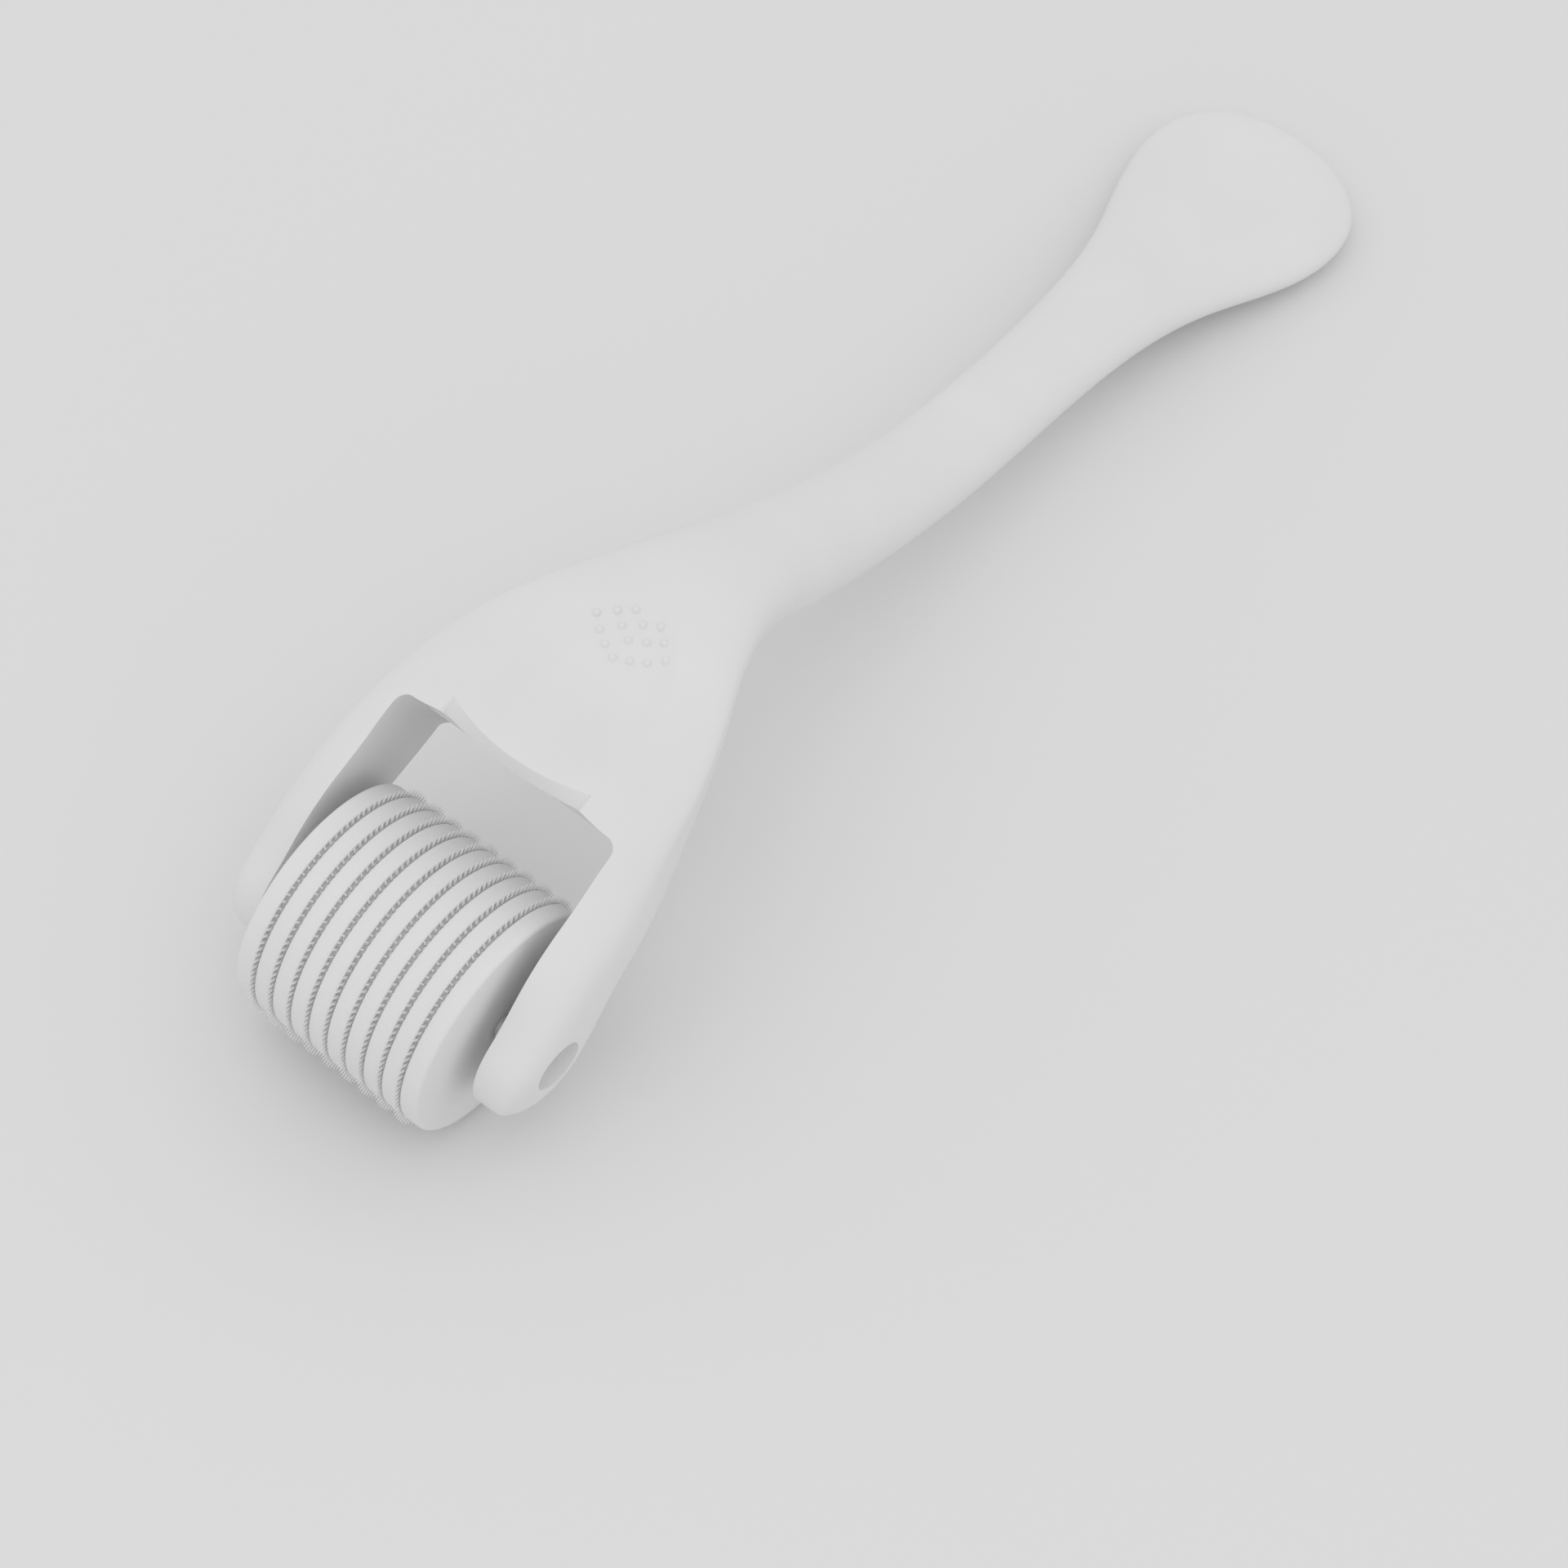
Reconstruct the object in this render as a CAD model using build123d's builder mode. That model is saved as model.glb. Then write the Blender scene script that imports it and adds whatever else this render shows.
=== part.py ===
"""Derma roller: a Y-shaped two-shell handle holding a free-turning drum of nine needle discs.

Units are millimetres. The roller lies as it would on a table, needles and tail on Z = 0.
+X is along the drum's axis, +Y runs from the drum towards the tail, +Z is up. The origin is on
the table, under the middle of the whole roller's bounding box.
"""
import os
from math import cos, pi, radians, sin, sqrt

from build123d import *

# --- Driving dimensions ---------------------------------------------------------------------

# Drum
drum_r = 11.0             # radius of the smooth lands
drum_width = 20.0
disc_count = 9
disc_pitch = 2.0
disc_thickness = 0.2
needle_count = 100        # needles round one disc
needle_tip_r = 11.65
needle_root_r = 10.45     # floor of the groove that the needles stand in
needle_base_width = 0.30
groove_width = 0.44
land_edge_r = 0.12        # rounding of each land's two edges
cap_edge_r = 0.35
core_r = 6.0              # sleeve that the discs and rings are stacked on
key_width = 1.8
key_height = 0.9
stack_clearance = 0.04    # between the sleeve and what is stacked on it

# Axle
pin_r = 1.0
pin_half_length = 13.2
pin_chamfer = 0.25
pin_seat_r = 1.02         # hole through the sleeve and the end caps
bush_r = 2.45
bush_seat_r = 2.48
bush_bore_r = 1.05        # 0.05 running clearance on the pin
bush_nose_r = 1.5         # slimmer nose between the arm and the end cap
bush_nose_end = 10.35     # 0.35 off the end cap
bush_inner_end = 11.9
bush_bore_end = 13.35
bush_outer_end = 14.4     # sunk below the arm's outer face

# Fork
arm_gap_front = 12.05     # half the distance between the arms, at the drum's axis
arm_gap_back = 11.65      # the same, at the crotch
gap_tilt = 30.35          # the gap's walls lean this many degrees back from vertical
crotch_distance = 17.95   # drum's axis to the crotch wall, square to that wall
crotch_radius = 1.2
reach = 60.0              # longer than any cut has to be

# Thumb rest, measured square to the way it is sunk, from the drum's axis
rest_tilt = 25.9          # it is sunk this many degrees off vertical
rest_depth = 0.75
rest_front_y = 18.3
rest_corner = (7.3, 19.4)
rest_side = (7.3, 25.0)
rest_shoulder = (5.3, 31.8)
rest_apex_y = 37.0
dot_r = 0.38
# Raised dots, in V-shaped rows that point at the drum
dot_rows = [
    [(0.0, 30.05), (1.35, 30.65), (2.6, 31.4), (3.75, 32.45)],
    [(0.0, 32.05), (1.35, 32.8), (2.55, 33.65)],
    [(0.0, 33.9), (1.35, 34.65)],
]

# Shells
shell_wall = 1.7
post_r = 1.7              # posts that join the shells inside the handle
peg_r = 0.8
peg_socket_r = 0.85
peg_length = 1.4
peg_root = 1.0            # how far a peg starts below the joint
peg_socket_depth = 1.6
post_places = (46.0, 86.0, 117.5)   # stations, given by their distance along Y

# Handle stations: distance along Y and height from the drum's axis, half width, half thickness,
# how far the widest line rises above the middle, the squareness of the section above and below
# the widest line, where 2 is an ellipse, and the section's slope in degrees
stations = [
    (3.3, 3.4, 16.2, 6.7, 0.0, 4.2, 4.2, 34.5),
    (6.8, 6.4, 16.1, 6.6, 0.5, 3.4, 3.6, 33.5),
    (10.3, 8.1, 15.8, 6.9, 1.5, 2.9, 3.4, 32.0),
    (14.1, 10.25, 15.05, 7.8, 2.5, 2.05, 3.2, 30.35),
    (20.95, 11.9, 13.45, 6.1, 3.3, 2.25, 2.6, 18.0),
    (27.5, 13.1, 10.85, 5.5, 3.0, 2.4, 2.4, 8.5),
    (33.5, 13.9, 8.0, 5.0, 1.9, 2.3, 2.3, -1.5),
    (39.5, 12.8, 6.2, 4.6, 0.9, 2.3, 2.2, -18.6),
    (46.0, 9.7, 5.65, 4.4, 0.2, 2.2, 2.2, -26.4),
    (54.0, 5.6, 5.35, 4.15, 0.0, 2.15, 2.15, -24.8),
    (64.0, 1.4, 5.1, 3.8, 0.0, 2.1, 2.1, -19.9),
    (75.0, -2.0, 4.85, 3.4, 0.0, 2.1, 2.1, -13.2),
    (86.0, -3.75, 4.7, 3.1, 0.0, 2.1, 2.1, -7.1),
    (96.0, -4.6, 4.95, 2.95, 0.0, 2.1, 2.1, -5.7),
    (104.5, -5.6, 5.75, 2.9, 0.0, 2.1, 2.1, -8.1),
    (111.5, -6.8, 7.2, 2.85, 0.0, 2.1, 2.1, -10.5),
    (117.5, -8.0, 9.15, 2.8, 0.0, 2.15, 2.15, -10.1),
    (123.0, -8.85, 10.8, 2.8, 0.0, 2.2, 2.2, -5.5),
    (128.5, -9.05, 11.45, 2.7, 0.0, 2.2, 2.2, 0.0),
    (132.7, -8.85, 10.4, 2.4, 0.0, 2.2, 2.2, 4.0),
    (135.6, -8.55, 7.6, 1.95, 0.0, 2.2, 2.2, 6.1),
    (136.9, -8.4, 4.6, 1.35, 0.0, 2.2, 2.2, 6.3),
    (137.4, -8.35, 2.0, 0.6, 0.0, 2.2, 2.2, 6.3),
]
first_hollow, last_hollow = 4, 18   # stations between which the shells are hollow
section_points = 24

# The arms' tips are round about the drum's axis
hub_r = 6.3
hub_half_width = 16.2
hub_edge = 2.2            # how far the outer side draws in at the very tip
hub_squareness = 5.0
hub_slope = 35.0
hub_cuts = (-0.985, -0.93, -0.78, -0.5, 0.0)   # places along the tip's radius

# The frame: the drum's axis stands a needle tip's radius above the table
tail_y = stations[-1][0]
drum_axis = Vector(0, -(tail_y - needle_tip_r) / 2, needle_tip_r)
rest_flat_y = 126.5       # where the tail's underside meets the table


# --- Planes and outlines --------------------------------------------------------------------

def at_axis(x=0.0, y=0.0, z=0.0):
    """A point given from the drum's axis."""
    return drum_axis + Vector(x, y, z)


def cross_section(y, z, slope):
    """Plane square to the handle at a slope in degrees, its y axis pointing up."""
    along = Vector(0, cos(radians(slope)), sin(radians(slope)))
    return Plane(origin=at_axis(0, y, z), x_dir=(1, 0, 0), z_dir=-along)


def outline(half_width, half_height, rise, upper, lower, inset=0.0):
    """Points round two half superellipses that meet at the widest line."""
    points = []
    for step in range(section_points):
        angle = 2 * pi * (step + 0.5) / section_points
        across, up = cos(angle), sin(angle)
        squareness = upper if up > 0 else lower
        side = 1 if up > 0 else -1
        height = half_height - side * rise - inset
        points.append((
            (half_width - inset) * abs(across) ** (2 / squareness) * (1 if across > 0 else -1),
            rise + side * height * abs(up) ** (2 / squareness),
        ))
    return points


def widest_point(station):
    """Y and height from the drum's axis of a station's widest line."""
    y, z, rise, slope = station[0], station[1], station[4], radians(station[7])
    return y - rise * sin(slope), z + rise * cos(slope)


def across_drum(x):
    """Plane square to the drum's axis, at x."""
    return Plane(origin=at_axis(x), x_dir=(0, 1, 0), z_dir=(1, 0, 0))


def leaning_plane(tilt):
    """Plane through the drum's axis whose normal leans back from vertical."""
    return Plane(
        origin=drum_axis,
        x_dir=(1, 0, 0),
        z_dir=(0, -sin(radians(tilt)), cos(radians(tilt))),
    )


gap_plane = leaning_plane(gap_tilt)
rest_plane = leaning_plane(rest_tilt)

# --- Handle, as one solid before it is split --------------------------------------------------

hub_sections = []
for cut in hub_cuts:
    height = sqrt(1 - cut ** 2)
    hub_sections.append((
        cut * hub_r * cos(radians(hub_slope)),
        cut * hub_r * sin(radians(hub_slope)),
        hub_half_width - hub_edge * (1 - height),
        hub_r * height,
        0.0,
        hub_squareness,
        hub_squareness,
        hub_slope,
    ))

with BuildPart() as handle_skin:
    for y, z, half_width, half_height, rise, upper, lower, slope in hub_sections + stations:
        with BuildSketch(cross_section(y, z, slope)):
            with BuildLine():
                Spline(*outline(half_width, half_height, rise, upper, lower), periodic=True)
            make_face()
    loft()

with BuildPart() as handle_hollow:
    for y, z, half_width, half_height, rise, upper, lower, slope in stations[first_hollow:last_hollow + 1]:
        with BuildSketch(cross_section(y, z, slope)):
            with BuildLine():
                inner = outline(half_width, half_height, rise, upper, lower, inset=shell_wall)
                Spline(*inner, periodic=True)
            make_face()
    loft()

# The thumb rest: what lies between the skin and the skin sunk straight down
with BuildPart() as thumb_rest:
    with BuildSketch(rest_plane):
        with BuildLine():
            Spline(
                rest_corner,
                rest_side,
                rest_shoulder,
                (0, rest_apex_y),
                (-rest_shoulder[0], rest_shoulder[1]),
                (-rest_side[0], rest_side[1]),
                (-rest_corner[0], rest_corner[1]),
            )
            ThreePointArc((-rest_corner[0], rest_corner[1]), (0, rest_front_y), rest_corner)
        make_face()
    extrude(amount=reach / 2)
    sunk = rest_plane.z_dir * -rest_depth
    add(handle_skin.part.moved(Location(sunk)), mode=Mode.SUBTRACT)

with BuildPart() as handle_solid:
    add(handle_skin.part)
    add(thumb_rest.part, mode=Mode.SUBTRACT)
    # The gap between the arms
    with BuildSketch(gap_plane.offset(-reach / 2)):
        with BuildLine():
            Polyline(
                (-arm_gap_front, -reach),
                (-arm_gap_front, 0),
                (-arm_gap_back, crotch_distance),
                (arm_gap_back, crotch_distance),
                (arm_gap_front, 0),
                (arm_gap_front, -reach),
                close=True,
            )
        make_face()
        crotch_corners = vertices().sort_by(Axis.Y)[-2:]
        fillet(crotch_corners, crotch_radius)
    extrude(amount=reach, mode=Mode.SUBTRACT)
    # The bushes' seats, right through both arms
    with BuildSketch(across_drum(-reach / 2)):
        Circle(bush_seat_r)
    extrude(amount=reach, mode=Mode.SUBTRACT)
    # Dots standing on the thumb rest's floor
    dot_centres = []
    for row in dot_rows:
        for x, y in row:
            for side in ((1, -1) if x else (1,)):
                start = rest_plane.from_local_coords(Vector(side * x, y, reach / 2))
                hits = handle_solid.part.find_intersection_points(Axis(start, -rest_plane.z_dir))
                top = max((hit[0] for hit in hits), key=lambda point: point.Z)
                dot_centres.append(top)
    with Locations(*dot_centres):
        Sphere(dot_r)
    # The flat that the tail rests on
    with BuildSketch(Plane.XY.offset(-reach)):
        with Locations((0, drum_axis.Y + rest_flat_y)):
            Rectangle(reach, reach)
    extrude(amount=reach, mode=Mode.SUBTRACT)

# Everything above the shells' joint, which follows the handle's widest line
with BuildPart() as above_joint:
    with BuildSketch(Plane.YZ):
        with BuildLine():
            widest = [(0, 0)] + [widest_point(station) for station in stations]
            line = Spline(*[(drum_axis.Y + y, drum_axis.Z + z) for y, z in widest])
            start, end = line @ 0, line @ 1
            front_y = start.X - 2 * hub_r * cos(radians(hub_slope))
            front_z = start.Y - 2 * hub_r * sin(radians(hub_slope))
            Polyline(
                (end.X, end.Y),
                (reach * 2, end.Y),
                (reach * 2, reach),
                (front_y, reach),
                (front_y, front_z),
                (start.X, start.Y),
            )
        make_face()
    extrude(amount=reach / 2, both=True)

post_centres = [at_axis(0, row[0], row[1]) for row in stations if row[0] in post_places]

with BuildPart() as posts:
    for centre in post_centres:
        with BuildSketch(Plane(origin=centre - Vector(0, 0, reach / 2))):
            Circle(post_r)
        extrude(amount=reach)
    add(handle_hollow.part, mode=Mode.INTERSECT)

# --- Handle shells --------------------------------------------------------------------------

with BuildPart() as handle_upper_shell:
    add(handle_solid.part)
    add(handle_hollow.part, mode=Mode.SUBTRACT)
    add(posts.part)
    add(above_joint.part, mode=Mode.INTERSECT)
    for centre in post_centres:
        with BuildSketch(Plane(origin=centre - Vector(0, 0, peg_root))):
            Circle(peg_socket_r)
        extrude(amount=peg_root + peg_socket_depth, mode=Mode.SUBTRACT)

with BuildPart() as handle_lower_shell:
    add(handle_solid.part)
    add(handle_hollow.part, mode=Mode.SUBTRACT)
    add(posts.part)
    add(above_joint.part, mode=Mode.SUBTRACT)
    for centre in post_centres:
        with BuildSketch(Plane(origin=centre - Vector(0, 0, peg_root))):
            Circle(peg_r)
        extrude(amount=peg_root + peg_length)

# --- Drum -----------------------------------------------------------------------------------

stack_half = (disc_count - 1) / 2 * disc_pitch + disc_thickness / 2   # outer faces of the outer discs
bore_r = core_r + stack_clearance
notch_half = key_width / 2 + stack_clearance

with BuildPart() as drum_core:
    with BuildSketch(across_drum(-stack_half)):
        Circle(core_r)
        with Locations((0, core_r)):
            Rectangle(key_width, 2 * key_height)
        Circle(pin_seat_r, mode=Mode.SUBTRACT)
    extrude(amount=2 * stack_half)

spacer_rings = []
ring_half = (disc_pitch - disc_thickness) / 2
land_half = (disc_pitch - groove_width) / 2
for number in range(disc_count - 1):
    centre_x = (number - (disc_count - 2) / 2) * disc_pitch
    with BuildPart() as spacer_ring:
        with BuildSketch(across_drum(centre_x - ring_half)):
            Circle(needle_root_r)
            Circle(bore_r, mode=Mode.SUBTRACT)
            with Locations((0, core_r)):
                Rectangle(2 * notch_half, 2 * (key_height + stack_clearance), mode=Mode.SUBTRACT)
        extrude(amount=2 * ring_half)
        with BuildSketch(across_drum(centre_x - land_half)):
            Circle(drum_r)
            Circle((bore_r + needle_root_r) / 2, mode=Mode.SUBTRACT)
        extrude(amount=2 * land_half)
        land_edges = spacer_ring.edges().filter_by(GeomType.CIRCLE).sort_by(SortBy.RADIUS)[-2:]
        fillet(land_edges, land_edge_r)
    spacer_ring.part.label = f"spacer_ring_{number + 1}"
    spacer_rings.append(spacer_ring.part)


def on_rim(radius, angle):
    return (radius * cos(angle), radius * sin(angle))


needle_half_angle = needle_base_width / 2 / needle_root_r
needle_outline = []
for number in range(needle_count):
    angle = 2 * pi * number / needle_count
    needle_outline.append(on_rim(needle_root_r, angle - needle_half_angle))
    needle_outline.append(on_rim(needle_tip_r, angle))
    needle_outline.append(on_rim(needle_root_r, angle + needle_half_angle))

needle_discs = []
for number in range(disc_count):
    centre_x = (number - (disc_count - 1) / 2) * disc_pitch
    with BuildPart() as needle_disc:
        with BuildSketch(across_drum(centre_x - disc_thickness / 2)):
            with BuildLine():
                Polyline(*needle_outline, close=True)
            make_face()
            Circle(bore_r, mode=Mode.SUBTRACT)
            with Locations((0, core_r)):
                Rectangle(2 * notch_half, 2 * (key_height + stack_clearance), mode=Mode.SUBTRACT)
        extrude(amount=disc_thickness)
    needle_disc.part.label = f"needle_disc_{number + 1}"
    needle_discs.append(needle_disc.part)

# --- End caps, pin and bushes: made on the right, then mirrored -------------------------------

with BuildPart() as end_cap_right:
    with BuildSketch(across_drum(stack_half)):
        Circle(needle_root_r)
        Circle(pin_seat_r, mode=Mode.SUBTRACT)
    extrude(amount=drum_width / 2 - stack_half)
    cap_land_x = (disc_count - 1) / 2 * disc_pitch + groove_width / 2
    with BuildSketch(across_drum(cap_land_x)):
        Circle(drum_r)
        Circle(pin_seat_r, mode=Mode.SUBTRACT)
    extrude(amount=drum_width / 2 - cap_land_x)
    rims = end_cap_right.edges().filter_by(GeomType.CIRCLE).group_by(SortBy.RADIUS)[-1]
    fillet(rims.sort_by(Axis.X)[0], land_edge_r)
    rims = end_cap_right.edges().filter_by(GeomType.CIRCLE).group_by(SortBy.RADIUS)[-1]
    fillet(rims.sort_by(Axis.X)[-1], cap_edge_r)

with BuildPart() as end_cap_left:
    add(mirror(end_cap_right.part, about=Plane.YZ, mode=Mode.PRIVATE))

with BuildPart() as axle_pin:
    with BuildSketch(across_drum(-pin_half_length)):
        Circle(pin_r)
    extrude(amount=2 * pin_half_length)
    chamfer(axle_pin.edges().filter_by(GeomType.CIRCLE), pin_chamfer)

with BuildPart() as axle_bush_right:
    with BuildSketch(across_drum(bush_nose_end)):
        Circle(bush_nose_r)
    extrude(amount=bush_inner_end - bush_nose_end)
    with BuildSketch(across_drum(bush_inner_end)):
        Circle(bush_r)
    extrude(amount=bush_outer_end - bush_inner_end)
    with BuildSketch(across_drum(bush_nose_end)):
        Circle(bush_bore_r)
    extrude(amount=bush_bore_end - bush_nose_end, mode=Mode.SUBTRACT)

with BuildPart() as axle_bush_left:
    add(mirror(axle_bush_right.part, about=Plane.YZ, mode=Mode.PRIVATE))

# --- Labels and files -----------------------------------------------------------------------

named_parts = {
    "handle_upper_shell": handle_upper_shell.part,
    "handle_lower_shell": handle_lower_shell.part,
    "drum_core": drum_core.part,
    "end_cap_left": end_cap_left.part,
    "end_cap_right": end_cap_right.part,
    "axle_pin": axle_pin.part,
    "axle_bush_left": axle_bush_left.part,
    "axle_bush_right": axle_bush_right.part,
}
for name, piece in named_parts.items():
    piece.label = name

os.makedirs("parts", exist_ok=True)
for piece in list(named_parts.values()) + spacer_rings + needle_discs:
    export_step(piece, f"parts/{piece.label}.step")
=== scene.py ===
"""Derma roller, dressed for the picture: the moulded handle, the needle drum and its axle.

Everything is made in millimetres from the middle of the drum's axis, along the CAD's own X, Y and Z,
and turned into metres in the CAD's frame when it becomes a Blender object.
"""

from math import cos, pi, radians, sin

import bmesh
import bpy
import numpy as np
from mathutils import Matrix, Vector


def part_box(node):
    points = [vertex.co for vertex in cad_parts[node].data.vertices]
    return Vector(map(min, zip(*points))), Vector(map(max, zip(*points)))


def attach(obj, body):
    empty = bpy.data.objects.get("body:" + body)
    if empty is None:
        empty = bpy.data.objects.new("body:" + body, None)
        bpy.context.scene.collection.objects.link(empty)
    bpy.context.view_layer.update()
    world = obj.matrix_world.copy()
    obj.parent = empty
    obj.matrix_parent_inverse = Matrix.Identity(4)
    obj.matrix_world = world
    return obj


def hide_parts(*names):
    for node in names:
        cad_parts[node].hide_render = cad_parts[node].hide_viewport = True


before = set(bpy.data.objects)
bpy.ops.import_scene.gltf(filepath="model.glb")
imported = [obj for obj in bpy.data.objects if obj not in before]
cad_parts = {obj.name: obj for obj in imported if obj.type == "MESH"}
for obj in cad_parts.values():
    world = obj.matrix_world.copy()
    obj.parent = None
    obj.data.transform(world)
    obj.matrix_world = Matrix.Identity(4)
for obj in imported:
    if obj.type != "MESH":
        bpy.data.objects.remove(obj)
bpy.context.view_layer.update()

MM = 0.001
pin_low, pin_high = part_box("axle_pin")
TO_FRAME = Matrix.Translation((pin_low + pin_high) / 2) @ Matrix.Scale(MM, 4)

# --- Dimensions, in millimetres ---------------------------------------------------------------

# Handle stations: distance along Y and height from the drum's axis, half width, half thickness,
# how far the widest line rises above the middle, the squareness of the section above and below
# the widest line, where 2 is an ellipse, and the section's slope in degrees, all as in the CAD
STATIONS = [
    (3.3, 3.4, 16.2, 6.7, 0.0, 4.2, 4.2, 34.5),
    (6.8, 6.4, 16.1, 6.6, 0.5, 3.4, 3.6, 33.5),
    (10.3, 8.1, 15.8, 6.9, 1.5, 2.9, 3.4, 32.0),
    (14.1, 10.25, 15.05, 7.8, 2.5, 2.05, 3.2, 30.35),
    (20.95, 11.9, 13.45, 6.1, 3.3, 2.25, 2.6, 18.0),
    (27.5, 13.1, 10.85, 5.5, 3.0, 2.4, 2.4, 8.5),
    (33.5, 13.9, 8.0, 5.0, 1.9, 2.3, 2.3, -1.5),
    (39.5, 12.8, 6.2, 4.6, 0.9, 2.3, 2.2, -18.6),
    (46.0, 9.7, 5.65, 4.4, 0.2, 2.2, 2.2, -26.4),
    (54.0, 5.6, 5.35, 4.15, 0.0, 2.15, 2.15, -24.8),
    (64.0, 1.4, 5.1, 3.8, 0.0, 2.1, 2.1, -19.9),
    (75.0, -2.0, 4.85, 3.4, 0.0, 2.1, 2.1, -13.2),
    (86.0, -3.75, 4.7, 3.1, 0.0, 2.1, 2.1, -7.1),
    (96.0, -4.6, 4.95, 2.95, 0.0, 2.1, 2.1, -5.7),
    (104.5, -5.6, 5.75, 2.9, 0.0, 2.1, 2.1, -8.1),
    (111.5, -6.8, 7.2, 2.85, 0.0, 2.1, 2.1, -10.5),
    (117.5, -8.0, 9.15, 2.8, 0.0, 2.15, 2.15, -10.1),
    (123.0, -8.85, 10.8, 2.8, 0.0, 2.2, 2.2, -5.5),
    (128.5, -9.05, 11.45, 2.7, 0.0, 2.2, 2.2, 0.0),
    (132.7, -8.85, 10.4, 2.4, 0.0, 2.2, 2.2, 4.0),
    (135.6, -8.55, 7.6, 1.95, 0.0, 2.2, 2.2, 6.1),
    (136.9, -8.4, 4.6, 1.35, 0.0, 2.2, 2.2, 6.3),
    (137.4, -8.35, 0.0, 0.0, 0.0, 2.2, 2.2, 6.3),
]

# The arms' tips are round about the drum's axis
HUB_R = 6.3
HUB_HALF_WIDTH = 16.2
HUB_EDGE = 2.2               # how far the outer side draws in at the very tip
HUB_SQUARENESS = 5.0
HUB_ANGLES = (-110, -90, -70, -50, -25, 0)   # the first lies beyond the tip, to round it
ARM_SLOPE = 35.0

# The gap between the arms, given by half its width at the drum's axis and at the crotch
MOULD_TILT = radians(25.9)   # the mould's pull leans back from vertical
GAP_FRONT = 12.05
GAP_BACK = 11.65
CROTCH_Y = 17.8
CROTCH_R = 1.2
GAP_EDGE_R = 0.14
GAP_EDGE_ANGLE = radians(50)   # edges sharper than this are rounded, apart from the shells' joint
JOINT_NEAR = 0.05              # an edge with both ends this near the joint's line belongs to it

# The thumb rest: a shallow dish, open towards the drum through a scallop in its front edge
REST_DEPTH = 0.85
REST_HALF_WIDTH = 7.4
REST_FRONT_Y = 19.5          # at the ends of the scallop's upper edge, which bows forward between them
REST_APEX_Y = 37.0
REST_LATENESS = 2.6          # how late its sides draw in towards the apex
REST_BLUNTNESS = 0.7         # the smaller, the blunter the apex
REST_SIDE = 3.2              # width of its soft sides
REST_SIDE_START = 0.3        # how far down the soft side already is at the outline
REST_DEEPENING = 8.0         # it reaches its depth this far behind the scallop
REST_FADE = 4.0              # and fades out over this much before its end
REST_OVERRUN = 0.5           # its end, past the apex
REST_BOW = 1.15
BOW_FADE = 6.0               # the rows behind the bow are straight again after this much
SCALLOP_DEPTH = 1.3
SCALLOP_HALF = 6.65          # at the lip
SCALLOP_SIDE = 0.9           # width of the scallop's end faces at the lip
SCALLOP_SIDE_TOP = 0.05      # and at its upper edge
LIP_WAVE = 0.37              # the lip's ends stand back, and its middle forward
LIP_BULGE = 1.25             # the middle's way forward, as a share of the wave
LIP_CORNER = 1.5             # the wave starts over this much beside the crotch's corners

# Raised dots on the thumb rest, in V-shaped rows that point at the drum
DOT_R = 0.36
DOT_HEIGHT = 0.34
DOT_FULLNESS = 0.8           # below 1, the dome's sides are steeper than a sphere's
DOT_FOOT = 0.06              # the foot spreads and sinks by this much
DOT_FOOT_CURVE = 6
DOT_ROOT = 0.15              # how deep the dome is closed below the floor
DOT_ROWS = [
    [(0.0, 30.05), (1.35, 30.65), (2.6, 31.4), (3.75, 32.45)],
    [(0.0, 32.05), (1.35, 32.8), (2.55, 33.65)],
    [(0.0, 33.9), (1.35, 34.65)],
]

# Drum
DRUM_R = 11.0
DRUM_HALF_WIDTH = 10.0
DISC_COUNT = 9
DISC_PITCH = 2.0
DISC_THICKNESS = 0.2
DISC_EDGE = 0.03
GROOVE_WIDTH = 0.44
LAND_EDGE_R = 0.12
CAP_EDGE_R = 0.35
BORE_R = 6.04
PIN_SEAT_R = 1.02
NEEDLE_COUNT = 100
NEEDLE_TIP_R = 11.65
NEEDLE_ROOT_R = 10.45
NEEDLE_R = 0.12
NEEDLE_LEVELS = (            # distance from the drum's axis and radius, from the root up
    (NEEDLE_ROOT_R - 0.15, NEEDLE_R),
    (NEEDLE_ROOT_R + 0.5, NEEDLE_R),
    (NEEDLE_TIP_R - 0.35, NEEDLE_R * 0.7),
    (NEEDLE_TIP_R - 0.06, NEEDLE_R * 0.28),
)

# Bushes in the arms
BUSH_R = 2.45
BUSH_SEAT_R = 2.48
BUSH_SEAT_REACH = 20.0       # longer than the arms are apart
BUSH_BORE_R = 1.05
BUSH_NOSE_R = 1.5
BUSH_NOSE_END = 10.35
BUSH_INNER_END = 11.9
BUSH_BORE_END = 13.35
BUSH_OUTER_END = 14.4
BUSH_EDGE = 0.12

# --- How finely the meshes are made -----------------------------------------------------------

FINE_STEPS = 4000            # samples of the handle's middle line
ARM_ROWS = 64
CORNER_ROWS = 8
LIP_ROWS = 6
REST_ROWS = 100
FORK_END_Y = 45.0            # past the fork, in plan
REST_MARGIN = 3.0            # the thumb rest's fine rows go on this far past its apex
BODY_ROWS = 170
SIDE_COLUMNS = 20
SIDE_CROWDING = 1.4          # above 1, the side's columns crowd towards the joint
WALL_COLUMNS = 6
UPPER_COLUMNS = 110
LOWER_COLUMNS = 30
EDGE_SEGMENTS = 3
WELD = 0.002                 # points nearer than this are one
SHORTEST_EDGE = 0.001
TINY = 1e-6                  # in place of a zero width at the very tail
DOT_COLUMNS = 20
DOT_RINGS = 7
DOT_PROBE = 0.1              # distance to the points that give the floor's slope at a dot
RING_SEGMENTS = 256
DISC_SEGMENTS = 200
SEAT_SEGMENTS = 128
BUSH_SEGMENTS = 96
NEEDLE_SIDES = 8
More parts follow.
